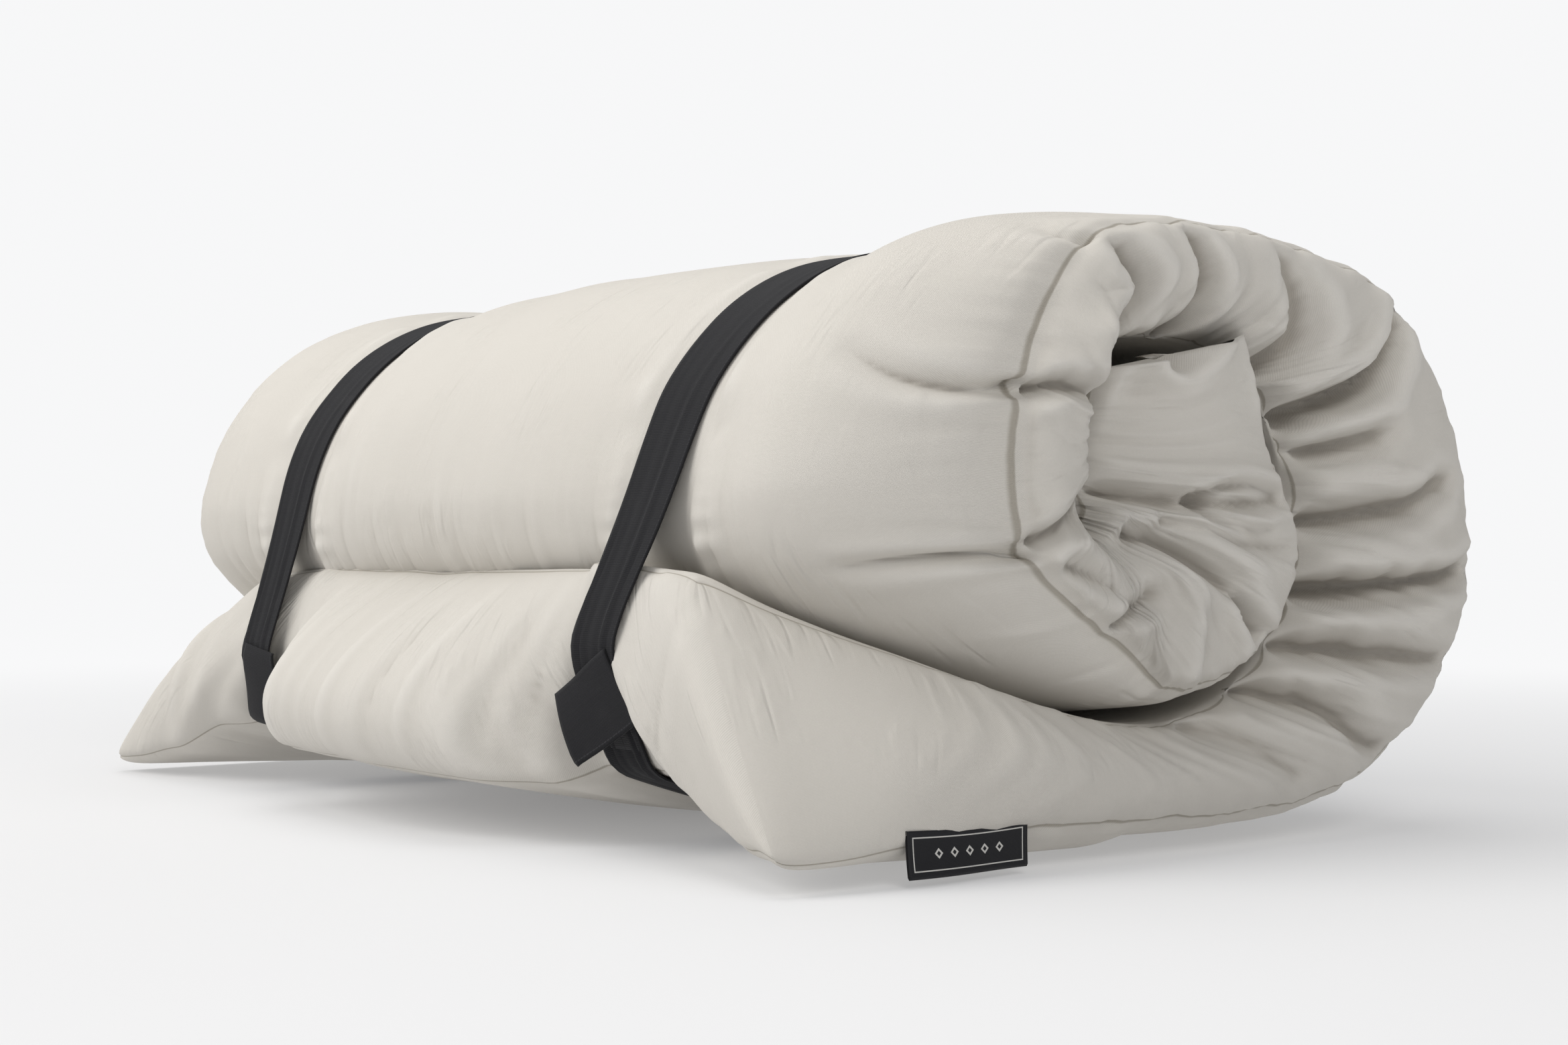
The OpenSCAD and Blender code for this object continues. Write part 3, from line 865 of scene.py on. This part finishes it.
def lay_cloth(mesh, flat, kind):
    """The cloth's own grid in mm as a UV map, and each corner's distance to the nearest seam."""
    at = flat[corners_of(mesh)]
    face = np.repeat(kind, 4)
    length = np.where(face == INNER, INNER_GRID, OUTER_GRID) * at[:, 0]
    across = at[:, 1] * LENGTH
    deep = at[:, 2] * BORDER_GRID
    x = np.where(face >= FREE_END, across, length)
    y = np.where(face < NEAR, across, deep)
    uv = mesh.uv_layers.new(name="cloth")
    write_rows(uv.data, "uv", np.stack([x, y], -1))
    from_side = np.minimum(at[:, 1], 1 - at[:, 1]) * LENGTH
    from_end = np.minimum(at[:, 0], 1 - at[:, 0]) * SEAM_TO_SEAM
    from_panel = np.minimum(at[:, 2], 1 - at[:, 2]) * BORDER
    gap = np.where(face < NEAR, np.minimum(from_side, from_end), from_panel)
    seam = mesh.attributes.new("seam_gap", "FLOAT", "CORNER")
    write_rows(seam.data, "value", gap)


def finish_piece(piece, material, body, slot, *nodes):
    """Gives a piece its material and its body, and hides the nodes that it replaces. The slot is not used.
    """
    piece.data.materials.append(material)
    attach(piece, body)
    if nodes:
        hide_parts(*nodes)


def cut_panels(whole, panels, panel_cloth, edge_cloth, slot):
    """Cuts a whole slab's skin into its own panels, and takes the whole one away."""
    for name, node, chosen in panels:
        cloth = panel_cloth if name.endswith(("panel", "outer", "inner")) else edge_cloth
        bm = bmesh.new()
        bm.from_mesh(whole.data)
        bm.faces.ensure_lookup_table()
        bmesh.ops.delete(bm, geom=[bm.faces[i] for i in np.nonzero(~chosen)[0]], context="FACES")
        panel = piece_from(bm, name)
        finish_piece(panel, cloth, "mattress", slot, node)
    bpy.data.objects.remove(whole)


COTTON, COTTON_SHADE = rgb(0.66, 0.632, 0.585), rgb(0.54, 0.515, 0.47)
cover_cloth = twill_cloth("cover_twill", COTTON, COTTON_SHADE, seam_painted_shade=0.8)
border_cloth = twill_cloth("border_twill", COTTON, COTTON_SHADE, seam_painted_shade=0.8, wrinkle=UPRIGHT_WRINKLES)
make_studio()
whole, flat, cover_points = rolled("whole_cover", (500, 200, 40))
kind, centre = facing_of(whole.data, flat)
lay_cloth(whole.data, flat, kind)
# The zip lies between the two strips of the inner end, at these shares of the layer's thickness
ZIP_START, ZIP_END = 0.175, 0.285
cut_panels(
    whole,
    (
        ("outer_panel", "cover_outer_panel", kind == OUTER),
        ("inner_panel", "cover_inner_panel", kind == INNER),
        ("near_border", "cover_side_near", kind == NEAR),
        ("far_border", "cover_side_far", kind == FAR),
        ("free_end_border", "cover_tail_end", kind == FREE_END),
        ("zip_facing_strip", "cover_zip_facing", (kind == INNER_END) & (centre[:, 2] < ZIP_START)),
        ("zip_flap_strip", "cover_zip_flap", (kind == INNER_END) & (centre[:, 2] > ZIP_END)),
    ),
    cover_cloth,
    border_cloth,
    slot="cover_cloth",
)

# ---------------------------------------------------------------- the casing and the wadding


def inside(name, cuts, low, high):
    """A slab that fills part of the layer, between low and high of its u, v and w."""
    made = piece_from(slab(cuts), name)
    unit = points_of(made.data)
    part = np.array(low) + unit * (np.array(high) - np.array(low))
    points = shape(*part.T)
    points[:, 2] = np.maximum(points[:, 2], 4)
    set_points(made.data, row_frame(points))
    return made, unit


calico = twill_cloth("casing_calico", rgb(0.70, 0.66, 0.57), rgb(0.60, 0.55, 0.46), pitch=0.9, sheen=0.05)
casing, unit = inside("whole_casing", (180, 50, 8), (0.012, 0.032, 0.14), (0.988, 0.968, 0.86))
kind, _ = facing_of(casing.data, unit)
lay_cloth(casing.data, unit, kind)
cut_panels(
    casing,
    (
        ("casing_outer", "casing_outer_panel", kind == OUTER),
        ("casing_inner", "casing_inner_panel", kind == INNER),
        ("casing_edge", "casing_border", kind >= NEAR),
    ),
    calico,
    calico,
    slot="casing_cloth",
)
cotton = wadding()
LAYERS, FIRST, ALL_LAYERS = 6, 0.17, 0.66  # how many, where they start, and their share of the thickness
for layer in range(LAYERS):
    low, high = [FIRST + ALL_LAYERS * edge / LAYERS for edge in (layer, layer + 0.94)]
    piece, unit = inside(f"wadding_{layer + 1}", (120, 34, 2), (0.018, 0.040, low), (0.982, 0.960, high))
    finish_piece(piece, cotton, "mattress", "batting", f"batting_{layer + 1}")

# ---------------------------------------------------------------- straps


def hull(points):
    """The convex line round 2-D points, turning left."""
    points = sorted(map(tuple, points))
    line = []
    for run in (points, points[::-1]):
        part = []
        for p in run:
            while len(part) > 1 and np.cross(np.subtract(part[-1], part[-2]), np.subtract(p, part[-2])) <= 0:
                part.pop()
            part.append(p)
        line += part[:-1]
    return np.array(line)


def evenly(line, count):
    """A closed line cut into even steps."""
    line = np.vstack([line, line[:1]])
    gone = np.concatenate([[0], np.cumsum(np.linalg.norm(np.diff(line, axis=0), axis=1))])
    at = np.linspace(0, gone[-1], count, endpoint=False)
    return np.stack([np.interp(at, gone, line[:, k]) for k in (0, 1)], -1), gone[-1]


def lay_strip(name, cuts, place_at, long_mm, wide_mm, wall_mm, closed=False):
    """A strip of cloth. place_at takes its length and width, 0 to 1, and gives points in mm."""
    bm = bmesh.new()
    bmesh.ops.create_grid(bm, x_segments=cuts[0], y_segments=cuts[1], size=0.5)
    made = piece_from(bm, name)
    grid = points_of(made.data)[:, :2] + 0.5
    uv = made.data.uv_layers.new(name="cloth")
    write_rows(uv.data, "uv", grid[corners_of(made.data)] * (long_mm, wide_mm))
    set_points(made.data, row_frame(place_at(grid[:, 0], grid[:, 1])))
    if closed:
        bm = bmesh.new()
        bm.from_mesh(made.data)
        bmesh.ops.remove_doubles(bm, verts=bm.verts, dist=0.00002)
        bmesh.ops.recalc_face_normals(bm, faces=bm.faces)
        bm.to_mesh(made.data)
        bm.free()
    made.data.shade_smooth()
    wall = made.modifiers.new("wall", "SOLIDIFY")
    wall.thickness = wall_mm / 1000
    wall.offset = 1
    return made


# In mm: walls, and the sizes of each free end and of its two pads
WEBBING_WALL, PAD_WALL = 1.5, 0.9
TAB_LONG, TAB_WIDE = 70, 54
HOOK_LONG, HOOK_WIDE = 36, 46
LOOP_LONG, LOOP_WIDE = 40, 42
# How far each free end is turned along the roll, and how far its tip stands out, in mm
TAB_TURNS = {"near": (math.radians(62), 30), "far": (math.radians(8), 12)}
WIDEST = 0.88  # the largest share of its flat width that a strap lies at


def drawn_up(x, z):
    """The share of its flat width that a strap lies at. It is gathered where it is pulled into the front."""
    front = np.clip((190 - x) / 60, 0, 1)
    high = np.clip((z - 190) / 190, 0, 1)
    return WIDEST - 0.20 * front * (1 - high)


def strap_band(name, line, y_mid, length):
    """A strap right round the roll, drawn into lengthwise creases."""
    count = len(line)
    turn = 2 * np.pi / length

    def place_at(a, b):
        at = np.rint(a * count).astype(int) % count
        across = b * 2 - 1
        step = np.roll(line, -2, 0) - np.roll(line, 2, 0)
        out = np.stack([step[:, 1], -step[:, 0]], -1) / np.linalg.norm(step, axis=1)[:, None]
        s = at * length / count
        gathers = (WIDEST - drawn_up(*line[at].T)) * 9
        creases = np.abs(ripple(across * 2.1 + 0.35 * np.sin(s * turn * 3), 5))
        lift = 0.8 + (0.35 + gathers) * creases + 0.5 * np.abs(across) ** 3
        place = line[at] + out[at] * lift[:, None]
        wave = 1.4 * np.sin(s * turn * 6) + 1.0 * np.sin(s * turn * 11 + 2)
        y = y_mid + across * STRAP_WIDTH / 2 * drawn_up(*line[at].T) + wave
        return np.stack([place[:, 0], y, place[:, 1]], -1)

    return lay_strip(name, (count, 20), place_at, length, STRAP_WIDTH, WEBBING_WALL, closed=True)


def front_of(line):
    """The part of a strap's line that lies at the front, from its lowest point up."""
    front = line[line[:, 0] < 200]
    return front[np.argsort(front[:, 1])]


def tab_places(front, hinge, y_mid, turn, spread):
    """The places of a strap's free end. It leaves the band at its hinge, and its tip stands out."""

    def place_at(a, b, off=0.0):
        down = a * TAB_LONG - 12
        across = (b - 0.5) * TAB_WIDE
        y = y_mid - spread * 0.55 + down * math.sin(turn) + across * math.cos(turn)
        z = hinge - 9 - down * math.cos(turn) + across * math.sin(turn)
        on_band = np.interp(z, front[:, 1], front[:, 0])
        lean = np.clip((z - hinge + 62) / 62, 0, 1.2)
        stand = 5.0 + spread * (1 - lean).clip(0, 1) ** 1.3 * (0.6 + 0.4 * a) + 5 * a * np.sin(b * 2.6)
        return np.stack([on_band - stand - off, y, z], -1)

    return place_at


def loop_places(front, hinge, y_mid):
    """The places of a loop pad, which lies on the band under the free end."""

    def place_at(a, b):
        z = hinge - 8 - a * LOOP_LONG
        on_band = np.interp(z, front[:, 1], front[:, 0])
        return np.stack([on_band - 3.4, y_mid + (b - 0.5) * LOOP_WIDE, z], -1)

    return place_at


def hook_places(tab_at):
    """The places of a hook pad, which lies on the inside of the free end."""
    return lambda a, b: tab_at(0.42 + 0.5 * a, 0.1 + 0.8 * b, -2.2)


BLACK, BLACK_SHADE = rgb(0.017, 0.017, 0.020), rgb(0.007, 0.007, 0.008)
webbing = webbing_cloth("strap_webbing", BLACK, BLACK_SHADE, rib=1.3, depth=0.0003, sheen=0.05)
hooks = hook_cloth("hook_pad", rgb(0.035, 0.035, 0.04), rgb(0.008, 0.008, 0.009))
for side, y_mid in zip(("near", "far"), STRAPS):
    close = np.abs(cover_points[:, 1] - y_mid) < 14
    line, length = evenly(hull(cover_points[close][:, [0, 2]]), 260)
    band = strap_band(f"{side}_strap", line, y_mid, length)
    finish_piece(band, webbing, "mattress", "strap_webbing", f"strap_{side}_band")
    hinge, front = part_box(f"strap_{side}_tab")[1].z * 1000, front_of(line)
    tab_at = tab_places(front, hinge, y_mid, *TAB_TURNS[side])
    hook_at, loop_at = hook_places(tab_at), loop_places(front, hinge, y_mid)
    tab = lay_strip(f"{side}_strap_end", (24, 18), tab_at, TAB_LONG, TAB_WIDE, WEBBING_WALL)
    finish_piece(tab, webbing, f"{side}_tab", "strap_webbing", f"strap_{side}_tab")
    pad = lay_strip(f"{side}_hook_pad", (16, 14), hook_at, HOOK_LONG, HOOK_WIDE, PAD_WALL)
    finish_piece(pad, hooks, f"{side}_tab", "hook_loop", f"strap_{side}_hook_pad")
    loops = lay_strip(f"{side}_loop_pad", (14, 14), loop_at, LOOP_LONG, LOOP_WIDE, PAD_WALL)
    finish_piece(loops, hooks, "mattress", "hook_loop", f"strap_{side}_loop_pad")
    # points 12 mm above and below the hinge, which nothing uses; the free end and its hook pad are then
    # taken off their body, their place baked into the mesh
    above, below = row_frame(np.array([[0.0, y_mid, hinge + 12], [0.0, y_mid, hinge - 12]]))
    for piece in (tab, pad):
        piece.parent = None
        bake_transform(piece)

# ---------------------------------------------------------------- the side label

lo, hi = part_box("side_label")
LABEL_START, LABEL_LONG = (lo.x - ORIGIN[0]) * 1000, (hi.x - lo.x) * 1000
LABEL_TOP, LABEL_HIGH = hi.z * 1000, (hi.z - lo.z) * 1000


def label_at(a, b):
    """The ribbon is folded in half at its lower edge, with both ends sewn into the seam."""
    x = LABEL_START + a * LABEL_LONG
    fold = np.clip((b - 0.5) / 0.02, -1, 1)
    down = 1 - np.abs(b - 0.5) * 2
    curl = 3.2 * down**2 * (0.6 + 0.4 * np.sin(a * 3.4 + 0.5)) + 1.2 * np.sin(a * 5.5) * down
    y = -2.6 - curl - 0.55 * fold
    z = LABEL_TOP - LABEL_HIGH * down - 1.6 * np.sin(a * 3.0) * (1 - down) + 1.2
    return np.stack([x, y, z], -1)


label = lay_strip("label", (40, 48), label_at, LABEL_LONG, LABEL_HIGH * 2, 0.45)
# both halves of the ribbon show the same woven side
label_grid = label.data.uv_layers["cloth"].data
grid = read_rows(label_grid, "uv", 2)
grid[:, 1] = LABEL_HIGH - np.abs(grid[:, 1] - LABEL_HIGH)
write_rows(label_grid, "uv", grid)
finish_piece(label, label_ribbon(), "label", "label_ribbon", "side_label")

# ---------------------------------------------------------------- the zip

TAPE_WIDE, TAPE_WALL, TAPE_GAP = 14, 0.5, 6  # mm. The gap is from each side of the mattress
GREY, GREY_SHADE = rgb(0.12, 0.12, 0.125), rgb(0.07, 0.07, 0.075)
tape_cloth = webbing_cloth("zip_tape_cloth", GREY, GREY_SHADE, rib=0.9, depth=0.00016, sheen=0.1)
ZIP_MIDDLE = (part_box("zip_coil_inner")[1].x - ORIGIN[0]) * 1000


def end_height(x, y):
    """How far the inner end's near corner is turned up at a place on it, in mm."""
    return UPTURN * bell(y, UPTURN_REACH) * np.clip((x - 270) / 150, 0, 1)


def tape_at(node):
    """The places of a zip tape, which lies waved a little away from the coil."""
    lo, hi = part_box(node)
    x0, x1 = (lo.x - ORIGIN[0]) * 1000, (hi.x - ORIGIN[0]) * 1000

    def place_at(a, b):
        y = TAPE_GAP + a * (LENGTH - 2 * TAPE_GAP)
        x = x0 + b * (x1 - x0)
        wave = 0.12 * np.sin(y / 31) * np.clip(np.abs(x - ZIP_MIDDLE) / 6, 0, 1)
        z = lo.z * 1000 - 0.05 + wave + end_height(x, y)
        return np.stack([x, y, z], -1)

    return place_at


for side in ("outer", "inner"):
    node, long_mm = f"zip_tape_{side}", LENGTH - 2 * TAPE_GAP
    tape = lay_strip(f"tape_{side}", (240, 6), tape_at(node), long_mm, TAPE_WIDE, TAPE_WALL)
    finish_piece(tape, tape_cloth, "mattress", "zip_tape", node)

nylon, nickel = coil_nylon(), zip_metal()
PITCH, TOOTH = 1.6, 0.46  # mm from tooth to tooth, and each tooth's share of that
for side, shift in (("outer", 1.0), ("inner", -1.0)):
    lo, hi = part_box(f"zip_coil_{side}")
    wide, high = hi.x - lo.x, hi.z - lo.z
    bm = bmesh.new()
    middle = (lo.x + wide / 2 - 0.0002 * shift, lo.y + PITCH * (0.5 + 0.25 * shift) / 1000, lo.z + high / 2)
    tooth = Matrix.Diagonal((wide, PITCH * TOOTH / 1000, high, 1))
    bmesh.ops.create_cube(bm, size=1.0, matrix=Matrix.Translation(middle) @ tooth)
    chamfer = {"offset": 0.0003, "offset_type": "OFFSET", "segments": 1, "profile": 0.5}
    bmesh.ops.bevel(bm, geom=bm.edges[:], affect="EDGES", material=-1, **chamfer)
    teeth = piece_from(bm, f"coil_{side}")
    row = teeth.modifiers.new("row", "ARRAY")
    row.count = int((hi.y - lo.y) * 1000 / PITCH) - 1
    row.use_relative_offset = False
    row.use_constant_offset = True
    row.constant_offset_displace = (0, PITCH / 1000, 0)
    finish_piece(teeth, nylon, "mattress", "zip_coil", f"zip_coil_{side}")

for node in ("zip_slider", "zip_puller", "zip_stops"):
    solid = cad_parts[node]
    solid.data.materials.clear()
    solid.data.materials.append(nickel)
